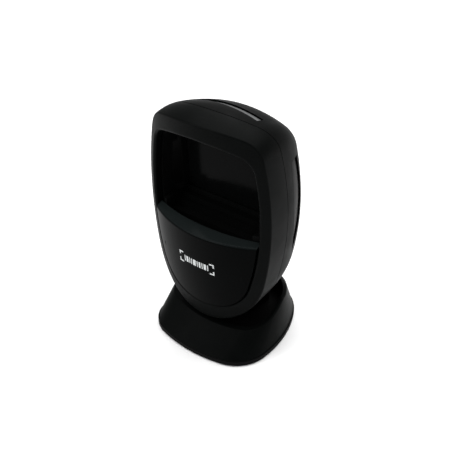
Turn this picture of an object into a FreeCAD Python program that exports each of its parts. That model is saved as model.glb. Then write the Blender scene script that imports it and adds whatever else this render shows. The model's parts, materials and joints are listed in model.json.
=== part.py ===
import FreeCAD, Part
import Sketcher
import math
import os

# Hands-free presentation barcode scanner: a shield-shaped scan head that tilts on a friction
# hinge inside a small flared, weighted base. Millimetres, +Z up, the front faces -Y, and the
# origin is at the middle of the footprint on the surface that the scanner stands on.

os.makedirs("parts", exist_ok=True)
doc = FreeCAD.newDocument("presentation_scanner")
Vector = FreeCAD.Vector
X_AXIS = Vector(1, 0, 0)
Y_AXIS = Vector(0, 1, 0)
Z_AXIS = Vector(0, 0, 1)

# ---------------------------------------------------------------- driving dimensions
SIZES = {
    "head_lean": 2.3,
    "pivot_y": 6.0,
    "pivot_z": 15.0,
    "front_y": -30.9,
    "front_mid_z": 75.8,
    "front_bow": 78.0,
    "profile_bow": 510.0,
    "split_depth": 11.6,
    "split_bow": 60.0,
    "shield_top": 140.7,
    "shield_top_arc": 77.6,
    "shield_corner_arc": 17.4,
    "shield_side_arc": 162.8,
    "shield_top_turn": 20.9,
    "shield_corner_turn": 76.8,
    "shield_side_turn": 102.1,
    "dome_start_y": -13.4,
    "dome_length": 43.5,
    "dome_centre_z": 76.0,
    "dome_scale": 0.65,
    "dome_inset": 7.2,
    "dome_rise": 4.2,
    "top_rise": 4.7,
    "side_draft": 0.8,
    "mouth_top": 132.4,
    "mouth_top_arc": 90.0,
    "mouth_corner_arc": 11.6,
    "mouth_side_arc": 142.0,
    "mouth_foot_arc": 25.5,
    "mouth_top_turn": 16.2,
    "mouth_corner_turn": 77.7,
    "mouth_side_turn": 106.2,
    "mouth_foot_turn": 165.0,
    "wall": 2.3,
    "seam_width": 0.5,
    "seam_depth": 0.7,
    "lip_depth": 5.0,
    "lip_wall": 1.6,
    "part_gap": 0.15,
    "chin_top_z": 77.2,
    "chin_lip_depth": 7.2,
    "chin_lip_bow": 110.0,
    "chin_lip_slope": 20.0,
    "chin_lip_arch": 300.0,
    "chin_wall": 2.0,
    "cavity_side_x": 33.9,
    "cavity_back_x": 31.0,
    "cavity_back_y": 1.2,
    "cavity_floor_z": 72.0,
    "liner_wall": 1.6,
    "step_run": 4.2,
    "step_rise": 3.2,
    "ledge_x": 30.8,
    "ledge_z": 83.0,
    "window_y": -1.5,
    "window_thick": 2.2,
    "window_half": 27.0,
    "window_low_z": 85.8,
    "window_high_z": 115.5,
    "window_corner": 6.5,
    "gasket_thick": 0.5,
    "gasket_width": 2.5,
    "light_half": 23.0,
    "light_low_z": 89.0,
    "light_high_z": 112.5,
    "strip_low_z": 87.0,
    "strip_front_y": -8.5,
    "strip_high_z": 114.5,
    "strip_thick": 1.6,
    "status_half": 22.5,
    "status_front_y": -3.4,
    "status_back_y": 2.0,
    "status_recess": 1.0,
    "inlay_recess": 0.7,
    "inlay_thick": 1.2,
    "inlay_top_z": 117.0,
    "inlay_low_z": 60.0,
    "inlay_front_y": 5.2,
    "inlay_back_y": 17.5,
    "button_width": 30.0,
    "button_height": 15.0,
    "button_proud": 0.9,
    "button_gap": 0.3,
    "button_z": 102.0,
    "button_flange": 1.5,
    "socket_width": 15.2,
    "socket_height": 13.6,
    "socket_length": 14.2,
    "socket_mouth_width": 12.0,
    "socket_mouth_height": 6.8,
    "socket_z": 42.0,
    "socket_back_y": 19.8,
    "base_front": 41.5,
    "base_front_arc": 85.7,
    "base_corner_arc": 21.7,
    "base_side_arc": 76.86,
    "base_front_turn": 15.2,
    "base_corner_turn": 85.3,
    "base_side_turn": 119.4,
    "base_top_front": 6.5,
    "base_top_front_arc": 112.0,
    "base_top_corner_arc": 6.5,
    "base_top_side_arc": 5.5,
    "base_top_z": 34.0,
    "base_wall": 2.2,
    "base_lip": 0.5,
    "rim_low_y": -38.0,
    "rim_low_z": 14.8,
    "rim_sweep": 70.0,
    "rim_crest": 4.0,
    "rim_arch": 50.0,
    "rim_peak_y": 5.8,
    "rim_peak_z": 28.2,
    "rim_round": 1.0,
    "well_back_y": 24.0,
    "cover_low_z": 12.2,
    "cover_thick": 1.4,
    "cover_hump": 7.7,
    "cover_half_x": 17.4,
    "foot_thick": 0.8,
    "foot_long": 20.0,
    "foot_wide": 8.0,
    "foot_x": 20.0,
    "foot_back_x": 14.5,
    "foot_y": 22.0,
    "plate_thick": 2.4,
    "weight_thick": 5.0,
    "weight_half_x": 24.5,
    "weight_half_y": 19.5,
    "yoke_base": 1.9,
    "yoke_arm": 4.0,
    "yoke_arm_round": 4.6,
    "yoke_inner_x": 7.8,
    "lug_half_x": 7.0,
    "lug_round": 4.6,
    "axle_diameter": 5.0,
    "axle_fit": 0.05,
    "washer_diameter": 9.0,
    "neck_flange_z": 32.0,
    "neck_flange_thick": 2.5,
    "screw_shank": 2.5,
    "screw_head": 4.4,
    "screw_head_high": 1.8,
    "board_thick": 1.6,
    "barrel_diameter": 11.0,
    "lens_diameter": 7.0,
    "camera_z": 100.8,
    "chassis_thick": 1.6,
}

sheet = doc.addObject("Spreadsheet::Sheet", "Sheet")
for row, (alias, number) in enumerate(SIZES.items(), start=1):
    sheet.set(f"A{row}", alias)
    sheet.set(f"B{row}", str(number))
    sheet.setAlias(f"B{row}", alias)
doc.recompute()


def size(alias):
    """Value of one cell of the sheet."""
    return float(sheet.get(alias))


PIVOT = Vector(0, size("pivot_y"), size("pivot_z"))
UPRIGHT = FreeCAD.Placement()
LEAN = FreeCAD.Placement(Vector(0, 0, 0), FreeCAD.Rotation(X_AXIS, size("head_lean")), PIVOT)
nodes = {}


def node(obj, label, frame=UPRIGHT):
    """Name an object as a sub-part and put it where its frame says."""
    obj.Label = label
    obj.Placement = frame.multiply(obj.Placement)
    nodes[label] = obj
    return obj


# ---------------------------------------------------------------- primitives bound to the sheet
def block(name, length, width, height, centre):
    """Box by its three sizes, numbers or cell names, about a centre."""
    box = doc.addObject("Part::Box", name)
    spans = []
    for prop, span in (("Length", length), ("Width", width), ("Height", height)):
        if isinstance(span, str):
            box.setExpression(prop, f"Sheet.{span}")
            span = size(span)
        else:
            setattr(box, prop, span)
        spans.append(span)
    box.Placement.Base = Vector(*centre) - Vector(*spans) / 2
    return box


def rod(name, diameter, length, start, along):
    """Cylinder from a start point along a direction."""
    cylinder = doc.addObject("Part::Cylinder", name)
    if isinstance(diameter, str):
        cylinder.setExpression("Radius", f"Sheet.{diameter} / 2")
    else:
        cylinder.Radius = diameter / 2
    cylinder.Height = length
    cylinder.Placement = FreeCAD.Placement(Vector(*start), FreeCAD.Rotation(Z_AXIS, along))
    return cylinder


def fuse(name, *pieces):
    """One solid from several."""
    whole = doc.addObject("Part::MultiFuse", name)
    whole.Shapes = list(pieces)
    whole.Refine = True
    return whole


def cut(name, base, *tools):
    """Base less its tools."""
    tool = tools[0] if len(tools) == 1 else fuse(name + "_tools", *tools)
    rest = doc.addObject("Part::Cut", name)
    rest.Base = base
    rest.Tool = tool
    return rest


def group(name, pieces):
    """Separate solids that share one node."""
    bundle = doc.addObject("Part::Compound", name)
    bundle.Links = pieces
    return bundle


def shaped(name, shape):
    """Object that holds a shape made directly."""
    feature = doc.addObject("Part::Feature", name)
    feature.Shape = shape
    return feature


def screw(name, head_top, along, shank_length, shank="screw_shank", head="screw_head"):
    """Pan-head screw with a cross recess; head_top is the middle of its outer face."""
    start = Vector(*head_top)
    high = size("screw_head_high")
    cap = rod(name + "_cap", head, high, start, along)
    pin = rod(name + "_pin", shank, shank_length, start + along * high, along)
    turn = FreeCAD.Rotation(Z_AXIS, along)
    slots = []
    for number, spans in enumerate(((2.6, 0.6, 1.6), (0.6, 2.6, 1.6))):
        slot = doc.addObject("Part::Box", f"{name}_slot_{number}")
        slot.Length, slot.Width, slot.Height = spans
        corner = turn.multVec(Vector(-spans[0] / 2, -spans[1] / 2, -0.8))
        slot.Placement = FreeCAD.Placement(start + corner, turn)
        slots.append(slot)
    return cut(name, fuse(name + "_blank", cap, pin), *slots)


# ---------------------------------------------------------------- PartDesign helpers
def origin_plane(body, role):
    """Origin plane of a body, by its role."""
    for feature in body.Origin.OriginFeatures:
        if feature.Role == role:
            return feature
    raise ValueError(role)


def new_sketch(body, name, role, offset=0.0):
    """Sketch on an origin plane of its own body, moved along the plane's normal."""
    sketch = body.newObject("Sketcher::SketchObject", name)
    sketch.AttachmentSupport = [(origin_plane(body, role), "")]
    sketch.MapMode = "FlatFace"
    sketch.AttachmentOffset = FreeCAD.Placement(Vector(0, 0, offset), FreeCAD.Rotation())
    return sketch


def circle(sketch, x, y, diameter):
    """Circle whose diameter follows a cell or a formula of cells."""
    index = sketch.addGeometry(Part.Circle(Vector(x, y, 0), Z_AXIS, 1.0))
    sketch.addConstraint(Sketcher.Constraint("DistanceX", -1, 1, index, 3, x))
    sketch.addConstraint(Sketcher.Constraint("DistanceY", -1, 1, index, 3, y))
    number = sketch.addConstraint(Sketcher.Constraint("Diameter", index, 2.0))
    sketch.setExpression(f"Constraints[{number}]", diameter)
    return index


def rectangle(sketch, left, low, right, high):
    """Rectangle whose sides follow formulas: left and right are reaches each side of the axis."""
    corners = [Vector(-1, -1, 0), Vector(1, -1, 0), Vector(1, 1, 0), Vector(-1, 1, 0)]
    first = sketch.GeometryCount
    for number in range(4):
        sketch.addGeometry(Part.LineSegment(corners[number], corners[(number + 1) % 4]))
    for number in range(4):
        following = first + (number + 1) % 4
        sketch.addConstraint(Sketcher.Constraint("Coincident", first + number, 2, following, 1))
    for number in (0, 2):
        sketch.addConstraint(Sketcher.Constraint("Horizontal", first + number))
        sketch.addConstraint(Sketcher.Constraint("Vertical", first + number + 1))
    places = (
        (f"-({left})", "DistanceX", 0),
        (low, "DistanceY", 0),
        (right, "DistanceX", 2),
        (high, "DistanceY", 2),
    )
    for formula, kind, line in places:
        guess = -1.0 if line == 0 else 1.0
        number = sketch.addConstraint(Sketcher.Constraint(kind, -1, 1, first + line, 1, guess))
        sketch.setExpression(f"Constraints[{number}]", formula)


def polygon(sketch, points):
    """Closed polygon through points."""
    first = sketch.GeometryCount
    for number, point in enumerate(points):
        nxt = points[(number + 1) % len(points)]
        sketch.addGeometry(Part.LineSegment(Vector(*point, 0), Vector(*nxt, 0)))
    for number in range(len(points)):
        nxt = first + (number + 1) % len(points)
        sketch.addConstraint(Sketcher.Constraint("Coincident", first + number, 2, nxt, 1))
        sketch.addConstraint(Sketcher.Constraint("Block", first + number))


def pad(body, sketch, name, length, midplane=False, back=False):
    """Pad a sketch by a number or a formula of cells."""
    feature = body.newObject("PartDesign::Pad", name)
    feature.Profile = sketch
    if isinstance(length, str):
        feature.setExpression("Length", length)
    else:
        feature.Length = length
    feature.Midplane = midplane
    feature.Reversed = back
    return feature


def pocket(body, sketch, name, length, midplane=False, back=False):
    """Pocket a sketch by a number or a formula of cells."""
    feature = body.newObject("PartDesign::Pocket", name)
    feature.Profile = sketch
    if isinstance(length, str):
        feature.setExpression("Length", length)
    else:
        feature.Length = length
    feature.Midplane = midplane
    feature.Reversed = back
    return feature


def turned(name, points, centre, along):
    """Body of revolution: (radius, length) points turned about an axis through a centre."""
    body = doc.addObject("PartDesign::Body", name)
    sketch = new_sketch(body, name + "_profile", "XZ_Plane")
    polygon(sketch, points)
    revolution = body.newObject("PartDesign::Revolution", name + "_turn")
    revolution.Profile = sketch
    revolution.ReferenceAxis = (sketch, ["V_Axis"])
    revolution.Angle = 360.0
    body.Placement = FreeCAD.Placement(Vector(*centre), FreeCAD.Rotation(Z_AXIS, along))
    return body


# ---------------------------------------------------------------- outlines of tangent arcs
def arc_outline(peak, radii, turns, inset=0.0, scale=1.0, centre=0.0):
    """Closed outline, symmetric about the vertical axis, of arcs tangent to each other.

    It starts at its peak on the axis. Each arc ends where the outward normal has turned from
    up by the given angle, and the last arc's radius is the one that closes on the axis. The
    outline may be scaled about a centre height and then inset. Each arc is three points.
    """
    sines = [math.sin(math.radians(turn)) for turn in turns]
    closing = radii[0] * sines[0]
    for number in range(1, len(radii)):
        closing += radii[number] * (sines[number] - sines[number - 1])
    sized = [radius * scale - inset for radius in list(radii) + [closing / sines[-1]]]
    ends = [math.radians(turn) for turn in [0.0] + list(turns) + [180.0]]
    across = 0.0
    along = centre + (peak - centre) * scale - inset - sized[0]
    right = []
    for number, radius in enumerate(sized):
        first, last = ends[number], ends[number + 1]
        points = []
        for angle in (first, (first + last) / 2, last):
            points.append((across + radius * math.sin(angle), along + radius * math.cos(angle)))
        right.append(points)
        if number + 1 < len(sized):
            across += (radius - sized[number + 1]) * math.sin(last)
            along += (radius - sized[number + 1]) * math.cos(last)

    def mirrored(point):
        return (-point[0], point[1])

    top, foot = right[0], right[-1]
    arcs = [(mirrored(top[2]), top[0], top[2])] + [tuple(arc) for arc in right[1:-1]]
    arcs.append((foot[0], foot[2], mirrored(foot[0])))
    for arc in reversed(right[1:-1]):
        arcs.append(tuple(mirrored(point) for point in reversed(arc)))
    return arcs


def wire_of(arcs, place):
    """Wire through the arcs, each point placed in space."""
    edges = []
    for arc in arcs:
        edges.append(Part.Arc(*[place(*point) for point in arc]).toShape())
    return Part.Wire(edges)


def prism(wire, sweep):
    """Solid swept straight from a closed flat wire."""
    return Part.Face(wire).extrude(sweep)


def slab(low, high):
    """Box between two corners."""
    spans = Vector(*high) - Vector(*low)
    return Part.makeBox(spans.x, spans.y, spans.z, Vector(*low))


def flat_prism(points, sweep):
    """Prism from the corner points of a flat polygon."""
    corners = [Vector(*point) for point in points]
    return prism(Part.makePolygon(corners + corners[:1]), sweep)


# ---------------------------------------------------------------- surfaces of the head
TURNS = (size("shield_top_turn"), size("shield_corner_turn"), size("shield_side_turn"))
SIDE_GAIN = math.cos(math.radians(TURNS[1])) - math.cos(math.radians(TURNS[2]))


def shield_wire(y, rise=0.0, scale=1.0, inset=0.0):
    """Section of the head at one depth; rise lifts its top and leaves its foot."""
    side = size("shield_side_arc") + rise / SIDE_GAIN
    radii = (size("shield_top_arc"), size("shield_corner_arc"), side)
    arcs = arc_outline(size("shield_top") + rise, radii, TURNS, inset, scale, size("dome_centre_z"))
    return wire_of(arcs, lambda across, up: Vector(across, y, up))


def head_solid(inset):
    """Outer form of the head, or the same form with its skin moved inwards."""
    wires = []
    draft = size("side_draft")
    for y, part in ((-38.0, -0.66), (-27.0, 0.0), (-15.2, 1.0)):
        wires.append(shield_wire(y, size("top_rise") * part, 1.0, inset + draft * max(part, 0.0)))
    steps = (18, 36, 52, 66, 79, 90)
    for angle in steps:
        turn = math.radians(angle)
        fall = 1.0 - math.cos(turn)
        y = size("dome_start_y") + (size("dome_length") - inset) * math.sin(turn)
        scale = 1.0 - (1.0 - size("dome_scale")) * fall
        wires.append(shield_wire(y, size("dome_rise"), scale, inset + draft + size("dome_inset") * fall))
    return Part.makeLoft(wires, True, False)


def barrel(front, bow, inset=0.0):
    """Upright barrel whose front is the bowed surface; everything behind it is inside."""
    radius = bow - inset
    half = 140.0
    sag = size("profile_bow") - math.sqrt(size("profile_bow") ** 2 - half ** 2)
    middle = size("front_mid_z")
    low = Vector(radius - sag, 0, middle - half)
    high = Vector(radius - sag, 0, middle + half)
    edges = [
        Part.Arc(low, Vector(radius, 0, middle), high).toShape(),
        Part.makeLine(high, Vector(0, 0, middle + half)),
        Part.makeLine(Vector(0, 0, middle + half), Vector(0, 0, middle - half)),
        Part.makeLine(Vector(0, 0, middle - half), low),
    ]
    solid = Part.Face(Part.Wire(edges)).revolve(Vector(0, 0, 0), Z_AXIS, 360)
    solid.rotate(Vector(0, 0, 0), Z_AXIS, 90)
    solid.translate(Vector(0, front + bow, 0))
    return solid


def front_barrel(inset=0.0):
    """Everything behind the front surface of the head."""
    return barrel(size("front_y"), size("front_bow"), inset)


def mouth_prism(inset, y_from=-50.0, y_to=40.0):
    """The head's front opening, swept along Y."""
    parts = ("top", "corner", "side", "foot")
    radii = [size(f"mouth_{part}_arc") for part in parts]
    turns = [size(f"mouth_{part}_turn") for part in parts]
    arcs = arc_outline(size("mouth_top"), radii, turns, inset)
    wire = wire_of(arcs, lambda across, up: Vector(across, y_from, up))
    return prism(wire, Vector(0, y_to - y_from, 0))


def edges_on(shape, test):
    """Edges of a shape whose points all pass a test."""
    chosen = []
    for edge in shape.Edges:
        low, high = edge.ParameterRange
        points = [edge.valueAt(low + (high - low) * part) for part in (0.02, 0.35, 0.65, 0.98)]
        if all(test(point) for point in points):
            chosen.append(edge)
    return chosen


def front_surface_y(x, z):
    """Depth of the bowed front surface at a point of the front view."""
    up = z - size("front_mid_z")
    radius = size("front_bow") - (size("profile_bow") - math.sqrt(size("profile_bow") ** 2 - up ** 2))
    return size("front_y") + size("front_bow") - math.sqrt(radius ** 2 - x ** 2)


def on_front(point, slack=0.02):
    """Whether a point lies on the bowed front surface."""
    return abs(point.y - front_surface_y(point.x, point.z)) < slack


OUTER = head_solid(0.0)
INNER = head_solid(size("wall"))
SPLIT = barrel(size("front_y") + size("split_depth"), size("split_bow"))


# ---------------------------------------------------------------- front bezel
def bezel_shape():
    """Ring face round the mouth, with the outer wall back to the seam and a short inner lip."""
    skin = OUTER.common(front_barrel())
    skin = skin.makeFillet(1.2, edges_on(skin, on_front))
    hollow = INNER.common(front_barrel(size("wall")))
    lip_back = front_barrel(size("lip_depth"))
    lip = mouth_prism(-size("lip_wall")).cut(lip_back)
    shell = skin.cut(SPLIT).cut(hollow.cut(lip)).cut(mouth_prism(0.0))
    edges = [edge for edge in edges_on(shell, on_front) if edge.Length > 3.0]
    return shell.makeFillet(1.3, edges)


front_bezel = node(shaped("front_bezel", bezel_shape()), "front_bezel", LEAN)


# ---------------------------------------------------------------- rear cover
def seam_groove():
    """Narrow shadow gap that runs round the head where the two halves meet."""
    behind = barrel(size("front_y") + size("split_depth") + size("seam_width"), size("split_bow"))
    return OUTER.common(SPLIT).cut(behind).cut(head_solid(size("seam_depth")))


def inlay_prism(side, inset=0.0):
    """Outline of a side inlay, blunt above and pointed below, swept across one side."""
    front, back = size("inlay_front_y") + inset, size("inlay_back_y") - inset
    top, low = size("inlay_top_z") - inset, size("inlay_low_z") + 4.0 * inset
    middle = (top + low) / 2 + 6.0
    inner_x = 24.0 * side
    front_top, back_top = Vector(inner_x, front + 0.8, top), Vector(inner_x, back - 2.2, top)
    tip = Vector(inner_x, front + 3.0, low)
    edges = [
        Part.Arc(front_top, Vector(inner_x, front, middle), tip).toShape(),
        Part.Arc(tip, Vector(inner_x, back, middle), back_top).toShape(),
        Part.makeLine(back_top, front_top),
    ]
    return prism(Part.Wire(edges), Vector(26.0 * side, 0, 0))


def status_slot(gap=0.0):
    """Long slot across the top of the rear cover."""
    half = size("status_half") - gap
    return slab((-half, size("status_front_y") + gap, 120.0), (half, size("status_back_y") - gap, 160.0))


def button_prism(grow, y_from, y_to):
    """Trigger button outline, a rounded bar, swept along Y."""
    half = size("button_width") / 2 + grow
    radius = size("button_height") / 2 + grow
    middle = size("button_z")
    reach = half - radius
    left, right = Vector(-reach, y_from, middle), Vector(reach, y_from, middle)
    up = Vector(0, 0, radius)
    edges = [
        Part.makeLine(left + up, right + up),
        Part.Arc(right + up, right + Vector(radius, 0, 0), right - up).toShape(),
        Part.makeLine(right - up, left - up),
        Part.Arc(left - up, left - Vector(radius, 0, 0), left + up).toShape(),
    ]
    return prism(Part.Wire(edges), Vector(0, y_to - y_from, 0))


BACK_Y = size("dome_start_y") + size("dome_length")
THREAD_HOLE = 1.3
SCREW_WELLS = [(-25.0, 58.0), (25.0, 58.0), (-25.0, 118.0), (25.0, 118.0)]
WELL_DIAMETER = 5.4
WELL_FLOOR_Y = 8.0
BOARD_BACK_Y = 5.4
BOARD_POSTS = [(-17.0, 41.0), (17.0, 41.0), (-17.0, 66.0), (17.0, 66.0)]
NECK_POSTS = [(-10.5, -3.4), (10.5, -3.4), (-10.5, 9.4), (10.5, 9.4)]


def rear_cover_shape():
    """Domed back half of the head with its bosses, wells, slots and openings."""
    shell = OUTER.common(SPLIT).cut(INNER).cut(seam_groove())
    bosses = []
    for x, z in SCREW_WELLS:
        start = Vector(x, WELL_FLOOR_Y - 3.0, z)
        bosses.append(Part.makeCylinder(4.2, BACK_Y - start.y, start, Y_AXIS))
    for x, y in NECK_POSTS:
        bosses.append(Part.makeCylinder(2.6, size("neck_flange_z") - 14.0, Vector(x, y, 14.0), Z_AXIS))
    for x, z in BOARD_POSTS:
        bosses.append(Part.makeCylinder(2.5, 22.0, Vector(x, BOARD_BACK_Y, z), Y_AXIS))
    mid_wall = head_solid(size("wall") / 2)
    shell = shell.fuse([boss.common(mid_wall) for boss in bosses])
    for x, z in SCREW_WELLS:
        shell = shell.cut(Part.makeCylinder(WELL_DIAMETER / 2, 40.0, Vector(x, WELL_FLOOR_Y, z), Y_AXIS))
        shell = shell.cut(Part.makeCylinder(1.45, 20.0, Vector(x, WELL_FLOOR_Y - 10.0, z), Y_AXIS))
    for x, z in BOARD_POSTS:
        shell = shell.cut(Part.makeCylinder(THREAD_HOLE, 7.0, Vector(x, BOARD_BACK_Y, z), Y_AXIS))
    for x, y in NECK_POSTS:
        start = Vector(x, y, size("neck_flange_z") - 7.0)
        shell = shell.cut(Part.makeCylinder(THREAD_HOLE, 7.0, start, Z_AXIS))
    shell = shell.cut(status_slot())
    recess_floor = head_solid(size("inlay_recess") + size("inlay_thick"))
    for side in (-1, 1):
        shell = shell.cut(inlay_prism(side).common(OUTER).cut(recess_floor))
    shell = shell.cut(button_prism(size("button_gap"), 10.0, 50.0))
    mouth_x = size("socket_mouth_width") / 2 + 1.0
    mouth_z = size("socket_mouth_height") / 2 + 1.0
    low, high = size("socket_z") - mouth_z, size("socket_z") + mouth_z
    shell = shell.cut(slab((-mouth_x, 10.0, low), (mouth_x, 50.0, high)))
    lug_x = size("lug_half_x") + 0.4
    lug_y = size("pivot_y")
    lug_reach = size("lug_round") + 0.5
    shell = shell.cut(slab((-lug_x, lug_y - lug_reach, 5.0), (lug_x, lug_y + lug_reach, 32.0)))
    return shell


rear_cover = node(shaped("rear_cover", rear_cover_shape()), "rear_cover", LEAN)

for side, side_name in ((-1, "left"), (1, "right")):
    inlay = inlay_prism(side, size("part_gap")).common(head_solid(size("inlay_recess")))
    inlay = inlay.cut(head_solid(size("inlay_recess") + size("inlay_thick") - 0.02))
    node(shaped(f"side_inlay_{side_name}", inlay), f"side_inlay_{side_name}", LEAN)

lens_skin = head_solid(size("status_recess")).cut(head_solid(size("status_recess") + 2.0))
status_lens = lens_skin.common(status_slot(size("part_gap")))
node(shaped("status_light_lens", status_lens), "status_light_lens", LEAN)


# ---------------------------------------------------------------- chin panel
def lip_space(drop, depth_grow=0.0):
    """Space below the arched, sloping lip and in front of its bowed rear edge."""
    slope = math.radians(size("chin_lip_slope"))
    front = size("front_y")
    arch = size("chin_lip_arch")
    uphill = Vector(0, math.cos(slope), math.sin(slope))
    inward = Vector(0, math.sin(slope), -math.cos(slope))
    sunk = inward * (arch + drop / math.cos(slope))
    start = Vector(0, front, size("chin_top_z")) - uphill * 90.0 + sunk
    below = Part.makeCylinder(arch, 180.0, start, uphill)
    behind = barrel(front + size("chin_lip_depth") + depth_grow, size("chin_lip_bow"))
    return below.cut(behind)


def chin_shape():
    """Convex glossy panel with a rounded lip along its top and an open back."""
    whole = mouth_prism(size("part_gap")).common(front_barrel()).common(lip_space(0.0))
    crease = []
    for edge in edges_on(whole, on_front):
        level = min(vertex.Z for vertex in edge.Vertexes) > 60.0
        across = abs(edge.Vertexes[0].X - edge.Vertexes[-1].X) > 20.0
        if level and across:
            crease.append(edge)
    whole = whole.makeFillet(1.6, crease)
    wall = size("chin_wall")
    hollow = mouth_prism(size("part_gap") + wall).common(front_barrel(wall)).common(lip_space(wall, 9.0))
    panel = whole.cut(hollow)
    for x, z in SCREW_WELLS[:2]:
        start_y = front_surface_y(x, z) + 1.0
        length = WELL_FLOOR_Y - 3.1 - start_y
        panel = panel.fuse(Part.makeCylinder(3.2, length, Vector(x, start_y, z), Y_AXIS))
        panel = panel.cut(Part.makeCylinder(THREAD_HOLE, 12.0, Vector(x, WELL_FLOOR_Y - 15.0, z), Y_AXIS))
    return panel


node(shaped("chin_panel", chin_shape()), "chin_panel", LEAN)


# ---------------------------------------------------------------- scan cavity
LINER_BACK = 3.0
STRIP_BACK_Y = -3.4
CHASSIS_HOLES = [(-27.0, 84.0), (27.0, 84.0), (-18.0, 123.0), (18.0, 123.0)]


def step_profile():
    """Side profile of the cavity, (y, z): floor, steps up to the window, and the ceiling."""
    back = size("cavity_back_y")
    run, rise = size("step_run"), size("step_rise")
    floor = size("cavity_floor_z")
    points = [(-60.0, floor - 2.0), (back - 3.5 * run - 4.0, floor)]
    count = 3
    y = back - count * run - 2.7
    z = floor
    for number in range(count):
        z += rise
        points.append((y, z - rise))
        points.append((y, z))
        y += run
    points.append((y, z))
    points.append((y, z + rise))
    points.append((back, z + rise))
    points.append((back, size("window_high_z") + 1.2))
    points.append((-17.0, 133.0))
    points.append((-60.0, 136.0))
    return points


def cavity_void():
    """Space that a barcode is read from: front, top and side outlines meet in it."""
    half, back_half = size("cavity_side_x"), size("cavity_back_x")
    back = size("cavity_back_y")
    bend = size("strip_front_y")
    right = [(half, -60.0), (half, bend), (back_half, STRIP_BACK_Y), (back_half, back)]
    left = [(-x, y) for x, y in reversed(right)]
    plan = [(x, y, 60.0) for x, y in right + left]
    void = mouth_prism(size("lip_wall") + 0.3).common(flat_prism(plan, Vector(0, 0, 90.0)))
    side_view = [(-50.0, y, z) for y, z in step_profile()]
    void = void.common(flat_prism(side_view, Vector(100.0, 0, 0)))
    ledge_x, ledge_z = size("ledge_x"), size("ledge_z")
    for side in (-1, 1):
        low_x, high_x = sorted((ledge_x * side, 50.0 * side))
        void = void.cut(slab((low_x, -60.0, 50.0), (high_x, 20.0, ledge_z)))
    return void


def strip_prism(side, grow=0.0, deep=0.0):
    """Plan of an illumination strip across a rear corner of the cavity, swept upwards."""
    front_point = Vector(size("cavity_side_x"), size("strip_front_y"), 0)
    back_point = Vector(size("cavity_back_x"), STRIP_BACK_Y, 0)
    along = (back_point - front_point).normalize()
    outward = Vector(-along.y, along.x, 0)
    if outward.x < 0:
        outward = -outward
    start = front_point + along * (0.4 - grow)
    end = back_point - along * (0.4 - grow)
    thick = size("strip_thick") + deep
    inner, outer = outward * deep, outward * thick
    corners = [start - inner, end - inner, end + outer, start + outer]
    low = size("strip_low_z") - grow
    high = size("strip_high_z") + grow
    points = [(corner.x * side, corner.y, low) for corner in corners]
    return flat_prism(points, Vector(0, 0, high - low))


def liner_shape():
    """Black moulding that forms the cavity, hollow behind its steps."""
    body = mouth_prism(0.3).common(front_barrel(size("lip_depth") + 0.1))
    body = body.common(slab((-60.0, -60.0, size("cavity_floor_z") - 2.0), (60.0, LINER_BACK, 160.0)))
    body = body.cut(lip_space(-0.25, 0.25))
    body = body.cut(cavity_void())
    profile = step_profile()
    wall = size("liner_wall")
    under = [(-29.0, y + 1.2 * wall, z - wall) for y, z in profile[2:9]]
    under += [(-29.0, 10.0, profile[8][1] - wall), (-29.0, 10.0, 60.0), (-29.0, under[0][1], 60.0)]
    body = body.cut(flat_prism(under, Vector(58.0, 0, 0)))
    for x, z in CHASSIS_HOLES:
        body = body.cut(Part.makeCylinder(THREAD_HOLE, 2.0, Vector(x, LINER_BACK - 1.4, z), Y_AXIS))
    light = size("light_half")
    body = body.cut(slab((-light, -5.0, size("light_low_z")), (light, 10.0, size("light_high_z"))))
    for side in (-1, 1):
        body = body.cut(strip_prism(side, 0.1, 8.0))
    return body


node(shaped("cavity_liner", liner_shape()), "cavity_liner", LEAN)
for side, side_name in ((-1, "left"), (1, "right")):
    node(shaped(f"illuminator_{side_name}", strip_prism(side)), f"illuminator_{side_name}", LEAN)


# ---------------------------------------------------------------- window and its gasket
def window_prism(inset, y_from, y_to):
    """Window outline with rounded corners, swept along Y."""
    half = size("window_half") - inset
    low, high = size("window_low_z") + inset, size("window_high_z") - inset
    radius = size("window_corner") - inset
    box = slab((-half, y_from, low), (half, y_to, high))
    corners = [edge for edge in box.Edges if abs(edge.Vertexes[0].Y - edge.Vertexes[1].Y) > 0.01]
    return box.makeFillet(radius, corners)


window_back = size("window_y") + size("window_thick")
node(shaped("exit_window", window_prism(0.0, size("window_y"), window_back)), "exit_window", LEAN)
gasket_ring = window_prism(0.2, window_back, window_back + size("gasket_thick"))
gasket_ring = gasket_ring.cut(window_prism(size("gasket_width"), window_back - 1.0, window_back + 2.0))
node(shaped("window_gasket", gasket_ring), "window_gasket", LEAN)


# ---------------------------------------------------------------- generic scan mark on the chin
def mark_shape():
    """Thin inlay on the chin: four corner brackets round a row of plain bars."""
    pieces = []
    middle_z, half_x, half_z = 58.5, 12.5, 3.6
    arm, line = 3.0, 0.8
    for side in (-1, 1):
        for level in (-1, 1):
            x, z = side * half_x, middle_z + level * half_z
            x_in, z_in = x - side * arm, z - level * 2.4
            x_low, x_high = sorted((x, x_in))
            z_low, z_high = sorted((z, z - level * line))
            pieces.append(slab((x_low, -60.0, z_low), (x_high, 0.0, z_high)))
            x_low, x_high = sorted((x, x - side * line))
            z_low, z_high = sorted((z, z_in))
            pieces.append(slab((x_low, -60.0, z_low), (x_high, 0.0, z_high)))
    across = -8.4
    half_high = 1.9
    for width in (0.6, 1.5, 0.6, 0.6, 2.0, 0.6, 1.2, 0.6, 1.6, 0.6):
        low, high = (across, -60.0, middle_z - half_high), (across + width, 0.0, middle_z + half_high)
        pieces.append(slab(low, high))
        across += width + 0.8
    film = front_barrel(-0.12).cut(front_barrel(0.0))
    film = film.common(slab((-20.0, -60.0, 50.0), (20.0, 0.0, 68.0)))
    whole = pieces[0].fuse(pieces[1:])
    return film.common(whole)


node(shaped("scan_mark", mark_shape()), "scan_mark", LEAN)


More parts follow.
